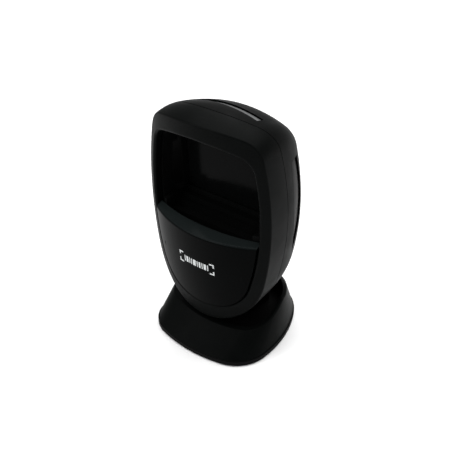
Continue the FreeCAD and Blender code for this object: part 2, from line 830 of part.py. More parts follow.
# ---------------------------------------------------------------- optics
chassis_y = LINER_BACK + 0.05
chassis_back = chassis_y + size("chassis_thick")
camera_z = size("camera_z")
chassis_mid = chassis_y + size("chassis_thick") / 2

chassis = doc.addObject("PartDesign::Body", "chassis_body")
chassis_outline = new_sketch(chassis, "chassis_outline", "XZ_Plane", -chassis_y)
rectangle(chassis_outline, "30", "80", "30", "128")
pad(chassis, chassis_outline, "chassis_plate", "Sheet.chassis_thick", back=True)
chassis_opening = new_sketch(chassis, "chassis_opening", "XZ_Plane", -chassis_y)
rectangle(chassis_opening, "Sheet.light_half - 2", "Sheet.light_low_z + 2",
          "Sheet.light_half - 2", "Sheet.light_high_z - 2")
for x, z in CHASSIS_HOLES + SCREW_WELLS[2:]:
    circle(chassis_opening, x, z, "Sheet.screw_shank + 0.2")
pocket(chassis, chassis_opening, "chassis_openings", 10.0, midplane=True)
node(chassis, "optical_chassis", LEAN)

screws = []
for number, (x, z) in enumerate(CHASSIS_HOLES):
    head_y = chassis_back + size("screw_head_high")
    screws.append(screw(f"chassis_screw_{number}", (x, head_y, z), -Y_AXIS, size("chassis_thick") + 1.1))
node(group("chassis_screw_group", screws), "chassis_screws", LEAN)

housing_y = chassis_back + 0.05
housing_long = 11.6
housing_mid = housing_y + housing_long / 2
housing_block = block("housing_block", 24.0, housing_long, 22.0, (0, housing_mid, camera_z))
housing_bore = rod("housing_bore", 11.2, 30.0, (0, -5.0, camera_z), Y_AXIS)
housing_hollow = block("housing_hollow", 17.0, 10.0, 15.0, (0, housing_y + housing_long, camera_z))
node(cut("housing", housing_block, housing_bore, housing_hollow), "camera_housing", LEAN)

barrel_half = size("barrel_diameter") / 2
lens_half = size("lens_diameter") / 2
barrel_points = [(lens_half + 0.1, 0.0), (barrel_half, 0.0), (barrel_half, 6.4), (2.2, 6.4), (2.2, 5.6)]
barrel_points += [(lens_half + 0.1, 3.4)]
node(turned("barrel", barrel_points, (0, housing_y - 0.4, camera_z), Y_AXIS), "lens_barrel", LEAN)
lens_points = [(0.0, 0.0), (1.4, 0.12), (2.6, 0.42), (lens_half, 0.9), (lens_half, 1.9), (0.0, 2.3)]
node(turned("lens", lens_points, (0, housing_y + 0.4, camera_z), Y_AXIS), "camera_lens", LEAN)

camera_back = housing_y + housing_long + 0.05
sensor = block("sensor", 7.2, 1.2, 5.6, (0, camera_back - 0.65, camera_z))
node(sensor, "image_sensor", LEAN)
camera_board = block("camera_pcb", 24.0, 1.2, 22.0, (0, camera_back + 0.6, camera_z))
node(camera_board, "camera_board", LEAN)

aim_x = 16.6
aim_points = [(1.6, 0.0), (3.2, 0.0), (3.2, 9.0), (0.0, 9.0)]
aim_points += [(0.0, 7.0), (2.6, 7.0), (2.6, 1.4), (1.6, 1.4)]
node(turned("aimer", aim_points, (aim_x, housing_y, camera_z), Y_AXIS), "aiming_module", LEAN)
aim_lens_points = [(0.0, 0.0), (1.2, 0.2), (2.5, 0.7), (2.5, 1.4), (0.0, 1.4)]
aim_lens_place = (aim_x, housing_y + 1.5, camera_z)
node(turned("aimer_lens", aim_lens_points, aim_lens_place, Y_AXIS), "aiming_lens", LEAN)

for side, side_name in ((-1, "left"), (1, "right")):
    slant = size("cavity_side_x") - size("cavity_back_x")
    tilt = math.degrees(math.atan2(slant, STRIP_BACK_Y - size("strip_front_y"))) * side
    turn = FreeCAD.Rotation(Z_AXIS, tilt)
    strip_mid_x = (size("cavity_side_x") + size("cavity_back_x")) / 2
    strip_mid_y = (size("strip_front_y") + STRIP_BACK_Y) / 2
    strip_mid_z = (size("strip_low_z") + size("strip_high_z")) / 2
    outward = turn.multVec(Vector(side, 0, 0))
    face = Vector(side * strip_mid_x, strip_mid_y, strip_mid_z) + outward * (size("strip_thick") + 1.2)
    board = doc.addObject("Part::Box", f"light_pcb_{side_name}")
    board.Length, board.Width, board.Height = 0.8, 4.4, 26.0
    corner = turn.multVec(Vector(0.0 if side > 0 else -0.8, -2.2, 0)) - Vector(0, 0, 13.0)
    board.Placement = FreeCAD.Placement(face + corner, turn)
    node(board, f"illuminator_board_{side_name}", LEAN)
    emitters = []
    for number in range(4):
        emitter = doc.addObject("Part::Box", f"emitter_{side_name}_{number}")
        emitter.Length, emitter.Width, emitter.Height = 0.9, 2.8, 2.8
        corner = turn.multVec(Vector(-0.95 if side > 0 else 0.05, -1.4, 0))
        emitter.Placement = FreeCAD.Placement(face + corner + Vector(0, 0, -10.9 + 6.4 * number), turn)
        emitters.append(emitter)
    node(group(f"emitters_{side_name}", emitters), f"illuminator_leds_{side_name}", LEAN)

status_y = (size("status_front_y") + size("status_back_y")) / 2
status_board = block("status_pcb", 32.0, 4.4, 0.8, (0, status_y, 133.4))
node(status_board, "status_light_board", LEAN)
lamps = []
for number in range(5):
    lamps.append(block(f"status_lamp_{number}", 2.8, 2.8, 0.8, (-12.0 + 6.0 * number, status_y, 134.25)))
node(group("status_lamps", lamps), "status_light_leds", LEAN)


# ---------------------------------------------------------------- electronics behind the chin
board_mid_y = BOARD_BACK_Y - 0.05 - size("board_thick") / 2
board_front_y = board_mid_y - size("board_thick") / 2
main_board = doc.addObject("PartDesign::Body", "main_board_body")
board_outline = new_sketch(main_board, "board_outline", "XZ_Plane", -board_mid_y)
rectangle(board_outline, "20.4", "37.4", "20.4", "71")
pad(main_board, board_outline, "board_plate", "Sheet.board_thick", midplane=True)
board_holes = new_sketch(main_board, "board_holes", "XZ_Plane", -board_mid_y)
for x, z in BOARD_POSTS:
    circle(board_holes, x, z, "Sheet.screw_shank + 0.2")
pocket(main_board, board_holes, "board_bores", 10.0, midplane=True)
node(main_board, "main_board", LEAN)

screws = []
for number, (x, z) in enumerate(BOARD_POSTS):
    head_y = board_front_y - size("screw_head_high") - 0.02
    screws.append(screw(f"board_screw_{number}", (x, head_y, z), Y_AXIS, 7.0))
node(group("board_screw_group", screws), "board_screws", LEAN)

CHIPS = [
    (12.0, 1.4, 12.0, -8.0, 48.0),
    (9.0, 1.2, 3.6, 1.5, 40.2),
    (5.0, 1.0, 5.0, -15.5, 58.6),
    (4.0, 2.6, 3.6, 11.0, 40.2),
]
chips = []
for number, (long, thick, tall, x, z) in enumerate(CHIPS):
    chips.append(block(f"chip_{number}", long, thick, tall, (x, board_front_y - 0.02 - thick / 2, z)))
node(group("chips", chips), "board_chips", LEAN)

can = block("can_block", 20.0, 2.4, 11.0, (0, board_front_y - 0.02 - 1.2, 64.0))
can_hollow = block("can_hollow", 19.4, 2.4, 10.4, (0, board_front_y - 0.02 - 0.9, 64.0))
node(cut("can", can, can_hollow), "shield_can", LEAN)

buzzer_points = [(0.8, 0.0), (6.0, 0.0), (6.0, 5.0), (0.0, 5.0), (0.0, 1.0), (0.8, 1.0)]
node(turned("buzzer_can", buzzer_points, (8.6, board_front_y - 5.05, 49.5), Y_AXIS), "buzzer", LEAN)

flex_width, flex_thick = 10.0, 0.3
flex_y, flex_low, flex_high = camera_back + 1.3, 74.0, 98.0
flex_board_y = BOARD_BACK_Y + 0.1
flex_points = [
    (-flex_width / 2, flex_y, flex_high),
    (-flex_width / 2, flex_y + flex_thick, flex_high),
    (-flex_width / 2, flex_y + flex_thick, 86.0),
    (-flex_width / 2, flex_board_y + flex_thick, flex_low),
    (-flex_width / 2, flex_board_y + flex_thick, 62.0),
    (-flex_width / 2, flex_board_y, 62.0),
    (-flex_width / 2, flex_board_y, flex_low),
    (-flex_width / 2, flex_y, 86.0),
]
flex = shaped("flex", flat_prism(flex_points, Vector(flex_width, 0, 0)))
node(flex, "flex_cable", LEAN)

socket_z = size("socket_z")
socket_back = size("socket_back_y")
socket_mid = socket_back - size("socket_length") / 2
socket_place = (0, socket_mid, socket_z)
socket_block = block("socket_block", "socket_width", "socket_length", "socket_height", socket_place)
mouth_mid = socket_back - 5.5
mouth_place = (0, mouth_mid, socket_z)
socket_mouth = block("socket_mouth", "socket_mouth_width", 12.0, "socket_mouth_height", mouth_place)
latch_z = socket_z - size("socket_mouth_height") / 2 - 1.0
socket_latch = block("socket_latch", 4.0, 12.0, 2.2, (0, mouth_mid, latch_z))
node(cut("socket", socket_block, socket_mouth, socket_latch), "cable_socket", LEAN)
contacts = []
for number in range(10):
    x = -4.95 + 1.1 * number
    contacts.append(block(f"contact_{number}", 0.4, 7.0, 0.4, (x, socket_back - 6.8, socket_z + 3.15)))
node(group("contacts", contacts), "socket_contacts", LEAN)


# ---------------------------------------------------------------- trigger
button_back = BACK_Y + size("button_proud")
cover_inside = BACK_Y - size("wall")
flange_y = cover_inside - 0.1


def button_shape():
    """Rounded bar that stands a little proud, with a flange inside and a plunger seat."""
    cap = button_prism(0.0, flange_y - 0.2, button_back)
    rim = []
    for edge in cap.Edges:
        if all(abs(vertex.Y - button_back) < 0.01 for vertex in edge.Vertexes):
            rim.append(edge)
    cap = cap.makeFillet(0.8, rim)
    flange = button_prism(size("button_flange"), flange_y - 1.2, flange_y)
    return cap.fuse(flange)


node(shaped("button", button_shape()), "trigger_button", LEAN)
plunger_length = 1.5
plunger_back = flange_y - 1.2
button_z = size("button_z")
plunger = rod("plunger", 3.0, plunger_length, (0, plunger_back - plunger_length, button_z), Y_AXIS)
node(plunger, "trigger_plunger", LEAN)
switch_back = plunger_back - plunger_length + 0.7
switch_block = block("switch_block", 6.0, 3.4, 6.0, (0, switch_back - 1.7, button_z))
switch_bore = rod("switch_bore", 3.3, 3.0, (0, switch_back - 1.6, button_z), Y_AXIS)
node(cut("switch", switch_block, switch_bore), "trigger_switch", LEAN)
trigger_pcb = block("trigger_pcb", 20.0, 1.2, 10.0, (0, switch_back - 3.4 - 0.62, button_z))
node(trigger_pcb, "trigger_board", LEAN)


# ---------------------------------------------------------------- screws of the head
screws = []
for number, (x, z) in enumerate(SCREW_WELLS):
    start = (x, WELL_FLOOR_Y + size("screw_head_high") + 0.02, z)
    shank_length = 12.0 if z < camera_z else WELL_FLOOR_Y - chassis_y - 0.1
    screws.append(screw(f"housing_screw_{number}", start, -Y_AXIS, shank_length))
node(group("housing_screw_group", screws), "housing_screws", LEAN)


# ---------------------------------------------------------------- neck and hinge
pivot_y, pivot_z = size("pivot_y"), size("pivot_z")
neck = doc.addObject("PartDesign::Body", "neck_body")
lug_sketch = new_sketch(neck, "lug_round", "YZ_Plane")
circle(lug_sketch, pivot_y, pivot_z, "2 * Sheet.lug_round")
pad(neck, lug_sketch, "lug_end", "2 * Sheet.lug_half_x", midplane=True)
stem_sketch = new_sketch(neck, "stem_outline", "YZ_Plane")
lug_round, stem_top = size("lug_round"), size("neck_flange_z") + 0.4
stem_low = [(pivot_y - lug_round, pivot_z), (pivot_y + lug_round, pivot_z)]
polygon(stem_sketch, stem_low + [(pivot_y + lug_round, stem_top), (pivot_y - lug_round, stem_top)])
pad(neck, stem_sketch, "stem", "2 * Sheet.lug_half_x", midplane=True)
flange_sketch = new_sketch(neck, "flange_outline", "XY_Plane", size("neck_flange_z") + 0.05)
rectangle(flange_sketch, "13", "-6", "13", "12")
pad(neck, flange_sketch, "flange", "Sheet.neck_flange_thick")
neck_holes = new_sketch(neck, "neck_holes", "XY_Plane", size("neck_flange_z"))
for x, y in NECK_POSTS:
    circle(neck_holes, x, y, "Sheet.screw_shank + 0.2")
pocket(neck, neck_holes, "neck_bores", 12.0, midplane=True)
axle_hole = new_sketch(neck, "axle_hole", "YZ_Plane")
circle(axle_hole, pivot_y, pivot_z, "Sheet.axle_diameter + 2 * Sheet.axle_fit")
pocket(neck, axle_hole, "axle_bore", 40.0, midplane=True)
node(neck, "neck_bracket", LEAN)

neck_top = size("neck_flange_z") + 0.05 + size("neck_flange_thick") + size("screw_head_high")
screws = []
for number, (x, y) in enumerate(NECK_POSTS):
    screws.append(screw(f"neck_screw_{number}", (x, y, neck_top + 0.02), -Z_AXIS, 8.0))
node(group("neck_screw_group", screws), "neck_screws", LEAN)

plate_low = size("foot_thick")
plate_top = plate_low + size("plate_thick")
weight_top = plate_top + size("weight_thick")
yoke_top = pivot_z + size("yoke_arm_round")
yoke = doc.addObject("PartDesign::Body", "yoke_body")
yoke_sketch = new_sketch(yoke, "yoke_foot_outline", "XY_Plane", weight_top + 0.02)
rectangle(yoke_sketch, "19", "-5", "19", "17")
pad(yoke, yoke_sketch, "yoke_foot", "Sheet.yoke_base")
arm_in = size("yoke_inner_x")
arm_out = arm_in + size("yoke_arm")
arm_low = weight_top + 1.0
for side_name, side in (("left", -1), ("right", 1)):
    arm = new_sketch(yoke, f"arm_{side_name}_outline", "XZ_Plane", -pivot_y)
    xs = sorted((side * arm_in, side * arm_out))
    polygon(arm, [(xs[0], arm_low), (xs[1], arm_low), (xs[1], yoke_top), (xs[0], yoke_top)])
    pad(yoke, arm, f"arm_{side_name}", "2 * Sheet.yoke_arm_round", midplane=True)
yoke_hole = new_sketch(yoke, "yoke_axle_hole", "YZ_Plane")
circle(yoke_hole, pivot_y, pivot_z, "Sheet.axle_diameter + 2 * Sheet.axle_fit")
pocket(yoke, yoke_hole, "yoke_axle_bore", 60.0, midplane=True)
YOKE_SCREWS = [(-15.5, -1.0), (15.5, -1.0), (-15.5, 13.0), (15.5, 13.0)]
yoke_holes = new_sketch(yoke, "yoke_screw_holes", "XY_Plane", weight_top)
for x, y in YOKE_SCREWS:
    circle(yoke_holes, x, y, "Sheet.screw_shank + 0.2")
pocket(yoke, yoke_holes, "yoke_screw_bores", 8.0, midplane=True)
doc.recompute()


def edge_names(shape, test):
    """Names of a shape's edges that pass a test."""
    return [f"Edge{number}" for number, edge in enumerate(shape.Edges, start=1) if test(edge)]


def arm_corner(edge):
    """Upper edges of the yoke's arms, which run along X."""
    ends = [vertex.Point for vertex in edge.Vertexes]
    level = all(abs(point.z - yoke_top) < 0.01 for point in ends)
    return level and len(ends) == 2 and abs(ends[0].y - ends[1].y) < 0.01


square_yoke = yoke.Tip
arm_rounds = yoke.newObject("PartDesign::Fillet", "arm_rounds")
arm_rounds.Base = (square_yoke, edge_names(square_yoke.Shape, arm_corner))
arm_rounds.Radius = size("yoke_arm_round") - 0.1
node(yoke, "yoke")

screws = []
for number, (x, y) in enumerate(YOKE_SCREWS):
    head_z = weight_top + 0.04 + size("yoke_base") + size("screw_head_high")
    screws.append(screw(f"yoke_screw_{number}", (x, y, head_z), -Z_AXIS, 8.6))
node(group("yoke_screw_group", screws), "yoke_screws")

axle_half = size("axle_diameter") / 2
axle_points = [(0.0, 0.0), (4.0, 0.0), (4.0, 2.0), (axle_half, 2.0)]
axle_points += [(axle_half, 29.0), (2.0, 29.5), (0.0, 29.5)]
axle_start = -arm_out - 2.02
node(turned("axle", axle_points, (axle_start, pivot_y, pivot_z), X_AXIS), "tilt_axle")

nut = doc.addObject("PartDesign::Body", "nut_body")
nut_sketch = new_sketch(nut, "nut_outline", "XY_Plane")
nut_reach = 4.6
hexagon = []
for number in range(6):
    angle = math.radians(60 * number)
    hexagon.append((nut_reach * math.cos(angle), nut_reach * math.sin(angle)))
polygon(nut_sketch, hexagon)
circle(nut_sketch, 0, 0, "Sheet.axle_diameter + 2 * Sheet.axle_fit")
pad(nut, nut_sketch, "nut_blank", 3.0)
nut_place = Vector(arm_out + 0.02, pivot_y, pivot_z)
nut.Placement = FreeCAD.Placement(nut_place, FreeCAD.Rotation(Z_AXIS, X_AXIS))
node(nut, "axle_nut")

washer_half = size("washer_diameter") / 2
washer_thick = arm_in - size("lug_half_x") - 0.04
washer_bore = axle_half + size("axle_fit")
washer_points = [(washer_bore, 0.0), (washer_half, 0.0)]
washer_points += [(radius, washer_thick) for radius in (washer_half, washer_bore)]
washers = []
for number, start_x in enumerate((-arm_in + 0.02, size("lug_half_x") + 0.02)):
    washers.append(turned(f"washer_{number}", washer_points, (start_x, pivot_y, pivot_z), X_AXIS))
node(group("washers", washers), "friction_washers")


# ---------------------------------------------------------------- base
BASE_TURNS = (size("base_front_turn"), size("base_corner_turn"), size("base_side_turn"))
FOOT_RADII = (size("base_front_arc"), size("base_corner_arc"), size("base_side_arc"))
TOP_RADII = (size("base_top_front_arc"), size("base_top_corner_arc"), size("base_top_side_arc"))


def base_wire(z, peak, radii, inset):
    """Plan outline of the base at one height, its peak towards the front."""
    arcs = arc_outline(peak, radii, BASE_TURNS, inset)
    return wire_of(arcs, lambda across, ahead: Vector(across, -ahead, z))


def base_flare(inset, low):
    """Flared form of the base, from a height up."""
    foot = base_wire(plate_top, size("base_front"), FOOT_RADII, inset + size("base_lip"))
    top = base_wire(size("base_top_z"), size("base_top_front"), TOP_RADII, inset)
    solid = Part.makeLoft([foot, top], True, True)
    if low < plate_top:
        solid = solid.fuse(prism(foot, Vector(0, 0, low - plate_top)))
    return solid


def rim_centres():
    """Centres (y, z) of the hollow front sweep, the crest and the rear arch of the rim."""
    front = (size("rim_low_y"), size("rim_low_z") + size("rim_sweep"))
    rear = (size("rim_peak_y"), size("rim_peak_z") - size("rim_arch"))
    reach_front = size("rim_sweep") + size("rim_crest")
    reach_rear = size("rim_arch") - size("rim_crest")
    span = math.hypot(rear[0] - front[0], rear[1] - front[1])
    along = (reach_front ** 2 - reach_rear ** 2 + span ** 2) / (2 * span)
    aside = math.sqrt(reach_front ** 2 - along ** 2)
    step = ((rear[0] - front[0]) / span, (rear[1] - front[1]) / span)
    crest_y = front[0] + step[0] * along - step[1] * aside
    crest_z = front[1] + step[1] * along + step[0] * aside
    return front, (crest_y, crest_z), rear


RIM_FRONT, RIM_CREST, RIM_REAR = rim_centres()


def rim_ends(drop=0.0):
    """Depths at which the crest of the rim meets the sweep in front and the arch behind."""
    sweep, crest, arch = size("rim_sweep"), size("rim_crest"), size("rim_arch")
    low_end = RIM_FRONT[0] + (RIM_CREST[0] - RIM_FRONT[0]) * (sweep + drop) / (sweep + crest)
    high_end = RIM_REAR[0] + (RIM_CREST[0] - RIM_REAR[0]) * (arch - drop) / (arch - crest)
    return low_end, high_end


def rim_height(y, drop=0.0):
    """Height of the rim at one depth: a hollow sweep, a round crest and an arch behind."""
    low_end, high_end = rim_ends(drop)
    if y < low_end:
        return RIM_FRONT[1] - math.sqrt((size("rim_sweep") + drop) ** 2 - (y - RIM_FRONT[0]) ** 2)
    if y < high_end:
        return RIM_CREST[1] + math.sqrt((size("rim_crest") - drop) ** 2 - (y - RIM_CREST[0]) ** 2)
    return RIM_REAR[1] + math.sqrt((size("rim_arch") - drop) ** 2 - (y - RIM_REAR[0]) ** 2)


def below_rim(drop):
    """Everything below the swept top of the base, or below the same surface moved down."""
    half = 60.0
    back = 50.0
    touch = 1e-9
    low_end, high_end = rim_ends(drop)
    stops = (-half, low_end, high_end, back)
    edges = []
    for first, last in zip(stops[:-1], stops[1:]):
        depths = (first + touch, (first + last) / 2, last - touch)
        edges.append(Part.Arc(*[Vector(-half, y, rim_height(y, drop)) for y in depths]).toShape())
    ends = [Vector(-half, back, rim_height(back - touch, drop)), Vector(-half, back, -5.0)]
    ends += [Vector(-half, -half, -5.0), Vector(-half, -half, rim_height(-half + touch, drop))]
    for first, last in zip(ends[:-1], ends[1:]):
        edges.append(Part.makeLine(first, last))
    return prism(Part.Wire(edges), Vector(2 * half, 0, 0))


def on_rim(point):
    """Whether a point lies on the swept top surface."""
    return abs(point.z - rim_height(point.y)) < 0.03


def rim_edges(shape):
    """Outline edges of the swept top surface, without its straight seams."""
    edges = edges_on(shape, on_rim)
    return [edge for edge in edges if edge.Length > 1.0 and edge.Curve.TypeId != "Part::GeomLine"]


BASE_SCREWS = [(-24.5, -24.0), (24.5, -24.0), (-16.5, 28.5), (16.5, 28.5)]


def base_shell_shape():
    """Flared skirt with an arched rim, a well for the head and screw posts."""
    wall = size("base_wall")
    outside = base_flare(0.0, plate_top).common(below_rim(0.0))
    outside = outside.makeFillet(size("rim_round"), rim_edges(outside))
    inside = base_flare(wall, plate_top - 1.0)
    well = inside.common(slab((-60.0, -60.0, 0.0), (60.0, size("well_back_y"), 60.0)))
    shell = outside.cut(inside.common(below_rim(wall))).cut(well)
    posts = []
    for x, y in BASE_SCREWS:
        posts.append(Part.makeCylinder(3.4, 7.6, Vector(x, y, plate_top), Z_AXIS))
    shell = shell.fuse([post.common(base_flare(wall / 2, plate_top)) for post in posts])
    for x, y in BASE_SCREWS:
        shell = shell.cut(Part.makeCylinder(THREAD_HOLE, 7.0, Vector(x, y, plate_top - 0.5), Z_AXIS))
    return shell


node(shaped("base_skirt", base_shell_shape()), "base_shell")

plate = doc.addObject("PartDesign::Body", "plate_body")
plate_sketch = new_sketch(plate, "plate_outline", "XY_Plane", plate_low)
plate_arcs = arc_outline(size("base_front"), FOOT_RADII, BASE_TURNS)
for number, arc in enumerate(plate_arcs):
    plate_sketch.addGeometry(Part.Arc(*[Vector(x, -ahead, 0) for x, ahead in arc]))
for number in range(len(plate_arcs)):
    plate_sketch.addConstraint(Sketcher.Constraint("Block", number))
pad(plate, plate_sketch, "plate_blank", "Sheet.plate_thick")
recess_sketch = new_sketch(plate, "screw_recesses", "XY_Plane", plate_low)
hole_sketch = new_sketch(plate, "screw_holes", "XY_Plane", plate_low)
for x, y in BASE_SCREWS:
    circle(recess_sketch, x, y, "Sheet.screw_head + 0.4")
    circle(hole_sketch, x, y, "Sheet.screw_shank + 0.2")
for x, y in YOKE_SCREWS:
    circle(hole_sketch, x, y, "Sheet.screw_shank + 0.1")
pocket(plate, recess_sketch, "recesses", "Sheet.screw_head_high + 0.1", back=True)
pocket(plate, hole_sketch, "holes", 20.0, midplane=True)
node(plate, "base_plate")

screws = []
for number, (x, y) in enumerate(BASE_SCREWS):
    screws.append(screw(f"base_screw_{number}", (x, y, plate_low + 0.05), Z_AXIS, 6.0))
node(group("base_screw_group", screws), "base_screws")

weight = doc.addObject("PartDesign::Body", "weight_body")
weight_sketch = new_sketch(weight, "weight_outline", "XY_Plane", plate_top + 0.01)
rectangle(weight_sketch, "Sheet.weight_half_x", "-Sheet.weight_half_y",
          "Sheet.weight_half_x", "Sheet.weight_half_y")
pad(weight, weight_sketch, "weight_blank", "Sheet.weight_thick - 0.01")
weight_holes = new_sketch(weight, "weight_holes", "XY_Plane", plate_top)
for x, y in YOKE_SCREWS:
    circle(weight_holes, x, y, "Sheet.screw_shank + 0.2")
pocket(weight, weight_holes, "weight_bores", 30.0, midplane=True)
node(weight, "base_weight")


def hinge_cover_shape():
    """Shallow dish inside the base, with a hump over each side of the hinge."""
    low, high = size("cover_low_z"), size("cover_low_z") + size("cover_thick")
    gap = size("base_wall") + 0.3
    plate_room = slab((-60.0, -60.0, low), (60.0, size("well_back_y") - 0.3, high))
    cover = base_flare(gap, plate_top).common(plate_room)
    outer, inner = size("cover_hump"), size("cover_hump") - size("cover_thick")
    slot_x = size("lug_half_x") + 0.7
    end_x = size("cover_half_x")
    for side in (-1, 1):
        for radius, reach in ((outer, end_x), (inner, end_x - size("cover_thick"))):
            start = Vector(slot_x * side, pivot_y, pivot_z)
            hump = Part.makeCylinder(radius, reach - slot_x, start, X_AXIS * side)
            xs = sorted((slot_x * side, reach * side))
            foot_z = low if radius == outer else low - 1.0
            skirt = slab((xs[0], pivot_y - radius, foot_z), (xs[1], pivot_y + radius, pivot_z))
            if radius == outer:
                above = slab((-60.0, -60.0, low), (60.0, 60.0, 60.0))
                cover = cover.fuse([hump.common(above), skirt])
            else:
                cover = cover.cut(hump).cut(skirt)
    cover = cover.cut(slab((-slot_x, pivot_y - inner, 0.0), (slot_x, pivot_y + inner, 60.0)))
    for side in (-1, 1):
        foot = Vector(20.0 * side, -14.0, weight_top + 0.02)
        cover = cover.fuse(Part.makeCylinder(2.2, low - foot.z, foot, Z_AXIS))
    return cover


node(shaped("hinge_dish", hinge_cover_shape()), "hinge_cover")

feet = []
for number in range(4):
    side = -1 if number % 2 else 1
    end = -1 if number < 2 else 1
    x, y = side * (size("foot_x") if end < 0 else size("foot_back_x")), end * size("foot_y")
    reach = (size("foot_long") - size("foot_wide")) / 2
    bar = block(f"foot_bar_{number}", 2 * reach, "foot_wide", "foot_thick", (x, y, plate_low / 2))
    ends = []
    for way in (-1, 1):
        start = (x + way * reach, y, 0)
        ends.append(rod(f"foot_end_{number}_{way + 1}", "foot_wide", plate_low, start, Z_AXIS))
    feet.append(fuse(f"foot_{number}", bar, *ends))
node(group("feet", feet), "rubber_feet")


def fault_of(shape):
    """Reason why a shape is not a sound set of solids, or nothing."""
    if shape.isNull():
        return "null"
    if not shape.isValid():
        return "not valid"
    if not shape.Solids:
        return "no solid"
    return ""


doc.recompute()
for item in doc.Objects:
    if "Invalid" in item.State or "Error" in item.State:
        raise RuntimeError(f"{item.Label}: {item.State}")
for label, obj in nodes.items():
    fault = fault_of(obj.Shape)
    print(label, fault or "ok", len(obj.Shape.Solids), round(obj.Shape.Volume), obj.Shape.BoundBox)
    if not fault:
        obj.Shape.exportStep(f"parts/{label}.step")
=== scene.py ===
import bpy
import json
import math
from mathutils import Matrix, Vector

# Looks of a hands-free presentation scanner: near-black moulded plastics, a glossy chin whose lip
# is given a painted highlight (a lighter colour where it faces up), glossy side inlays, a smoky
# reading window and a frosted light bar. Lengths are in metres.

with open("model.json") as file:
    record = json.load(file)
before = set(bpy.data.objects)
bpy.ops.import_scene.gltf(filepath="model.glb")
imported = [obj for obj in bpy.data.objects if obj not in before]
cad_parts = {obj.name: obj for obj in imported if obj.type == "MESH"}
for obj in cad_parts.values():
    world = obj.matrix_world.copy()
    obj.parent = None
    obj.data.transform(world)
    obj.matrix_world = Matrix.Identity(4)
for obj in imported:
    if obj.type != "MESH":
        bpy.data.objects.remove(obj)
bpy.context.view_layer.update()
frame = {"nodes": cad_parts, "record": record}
MM = 0.001


# ---------------------------------------------------------------- material nodes
class Shader:
    """A node material with one Principled shader and a few helpers."""

    def __init__(self, name, colour, roughness, **sockets):
        self.material = bpy.data.materials.new(name)
        self.material.use_nodes = True
        self.tree = self.material.node_tree
        self.main = self.tree.nodes["Principled BSDF"]
        self.colour = colour
        self.main.inputs["Base Color"].default_value = (*colour, 1.0)
        self.main.inputs["Roughness"].default_value = roughness
        for key, value in sockets.items():
            self.main.inputs[key.replace("_", " ")].default_value = value
        self.place = self.add("ShaderNodeTexCoord").outputs["Object"]

    def add(self, kind, **values):
        """New node with its properties and unlinked sockets set."""
        node = self.tree.nodes.new(kind)
        for key, value in values.items():
            if hasattr(node, key):
                setattr(node, key, value)
            else:
                node.inputs[key.replace("_", " ")].default_value = value
        return node

    def link(self, start, end):
        self.tree.links.new(start, end)

    def noise(self, size, detail=3.0, stretch=(1.0, 1.0, 1.0), distortion=0.0):
        """Noise whose lumps are about one size across, in metres."""
        mapping = self.add("ShaderNodeMapping")
        mapping.inputs["Scale"].default_value = stretch
        self.link(self.place, mapping.inputs["Vector"])
        texture = self.add("ShaderNodeTexNoise", Scale=1.0 / size, Detail=detail,
                           Distortion=distortion)
        self.link(mapping.outputs["Vector"], texture.inputs["Vector"])
        return texture.outputs["Fac"]

    def cells(self, size):
        """Distance to the nearest cell centre, for leathery or spark-eroded grain."""
        texture = self.add("ShaderNodeTexVoronoi", Scale=1.0 / size)
        self.link(self.place, texture.inputs["Vector"])
        return texture.outputs["Distance"]

    def spread(self, source, low, high, from_low=0.3, from_high=0.7):
        """Source stretched to a range."""
        node = self.add("ShaderNodeMapRange")
        node.inputs["From Min"].default_value = from_low
        node.inputs["From Max"].default_value = from_high
        node.inputs["To Min"].default_value = low
        node.inputs["To Max"].default_value = high
        self.link(source, node.inputs["Value"])
        return node.outputs["Result"]

    def tones(self, source, stops):
        """Colour ramp from (place, colour) stops onto the base colour."""
        ramp = self.add("ShaderNodeValToRGB")
        elements = ramp.color_ramp.elements
        while len(elements) < len(stops):
            elements.new(0.5)
        for element, (place, colour) in zip(elements, stops):
            element.position = place
            element.color = (*colour, 1.0)
        self.link(source, ramp.inputs["Fac"])
        self.link(ramp.outputs["Color"], self.main.inputs["Base Color"])

    def mottle(self, size, amount):
        """Soft, slight variation of the colour."""
        low = [channel * (1.0 - amount) for channel in self.colour]
        high = [min(channel * (1.0 + amount), 1.0) for channel in self.colour]
        self.tones(self.noise(size, 4.0), [(0.32, low), (0.68, high)])

    def polish(self, size, low, high):
        """Roughness that wanders, as handled surfaces do."""
        wander = self.noise(size, 4.0, distortion=0.6)
        self.link(self.spread(wander, low, high), self.main.inputs["Roughness"])

    def relief(self, source, depth, strength=1.0, below=None):
        """Bump of a depth in metres, on top of another bump."""
        bump = self.add("ShaderNodeBump", Strength=strength, Distance=depth)
        self.link(source, bump.inputs["Height"])
        if below is not None:
            self.link(below, bump.inputs["Normal"])
        self.link(bump.outputs["Normal"], self.main.inputs["Normal"])
        return bump.outputs["Normal"]


def grained(name, colour, roughness, grain=0.35 * MM, depth=0.012 * MM, amount=0.12, gloss=0.03):
    """Moulded plastic with a fine spark-eroded grain and a slight wave of the wall."""
    shader = Shader(name, colour, roughness, Specular_IOR_Level=gloss)
    shader.mottle(9 * MM, amount)
    shader.polish(14 * MM, roughness - 0.04, roughness + 0.06)
    wave = shader.relief(shader.noise(22 * MM, 1.0), 0.03 * MM, 0.25)
    pits = shader.relief(shader.cells(grain), depth, 0.7, wave)
    shader.relief(shader.noise(grain * 0.45, 2.0), depth * 0.6, 0.6, pits)
    return shader.material


def polished(name, colour, roughness, amount=0.1, **sockets):
    """Glossy moulding with a faint flow wave, a soft mottle of the colour and hairline wipe marks.
    """
    shader = Shader(name, colour, roughness, **sockets)
    shader.mottle(12 * MM, amount)
    shader.polish(18 * MM, roughness, roughness + 0.05)
    wave = shader.relief(shader.noise(26 * MM, 1.0), 0.04 * MM, 0.2)
    wipes = shader.noise(0.5 * MM, 2.0, (0.06, 1.0, 1.0))
    shader.relief(wipes, 0.0006 * MM, 0.5, wave)
    return shader.material


